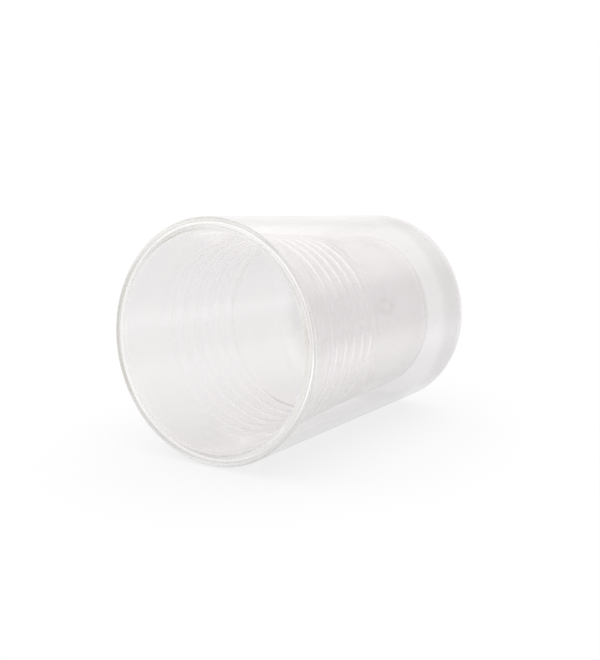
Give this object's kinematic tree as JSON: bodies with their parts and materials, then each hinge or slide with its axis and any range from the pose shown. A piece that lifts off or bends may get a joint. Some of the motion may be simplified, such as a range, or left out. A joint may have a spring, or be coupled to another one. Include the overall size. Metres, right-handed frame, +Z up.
{
  "type": "double-walled tea glass",
  "caption": "Clear double-walled tea glass: smooth tapered outer shell, ribbed inner cup that flares to the mouth, and a round lip fused to both walls.",
  "frame": {"origin": "centre of the base, on the plane that the foot ring stands on", "axes": "+Z up along the glass's axis, from the base to the mouth; X and Y are free, because the glass is turned about Z"},
  "size_m": [0.08, 0.08, 0.104],
  "materials": {
    "clear_glass": "clear, fire-polished",
    "lip_glass": "clear, fire-polished, faintly green where it is thick"
  },
  "bodies": {
    "root": {"outer_shell": "clear_glass", "inner_cup": "clear_glass", "rim_weld": "lip_glass", "vent_seal": "lip_glass"}
  },
  "joints": []
}
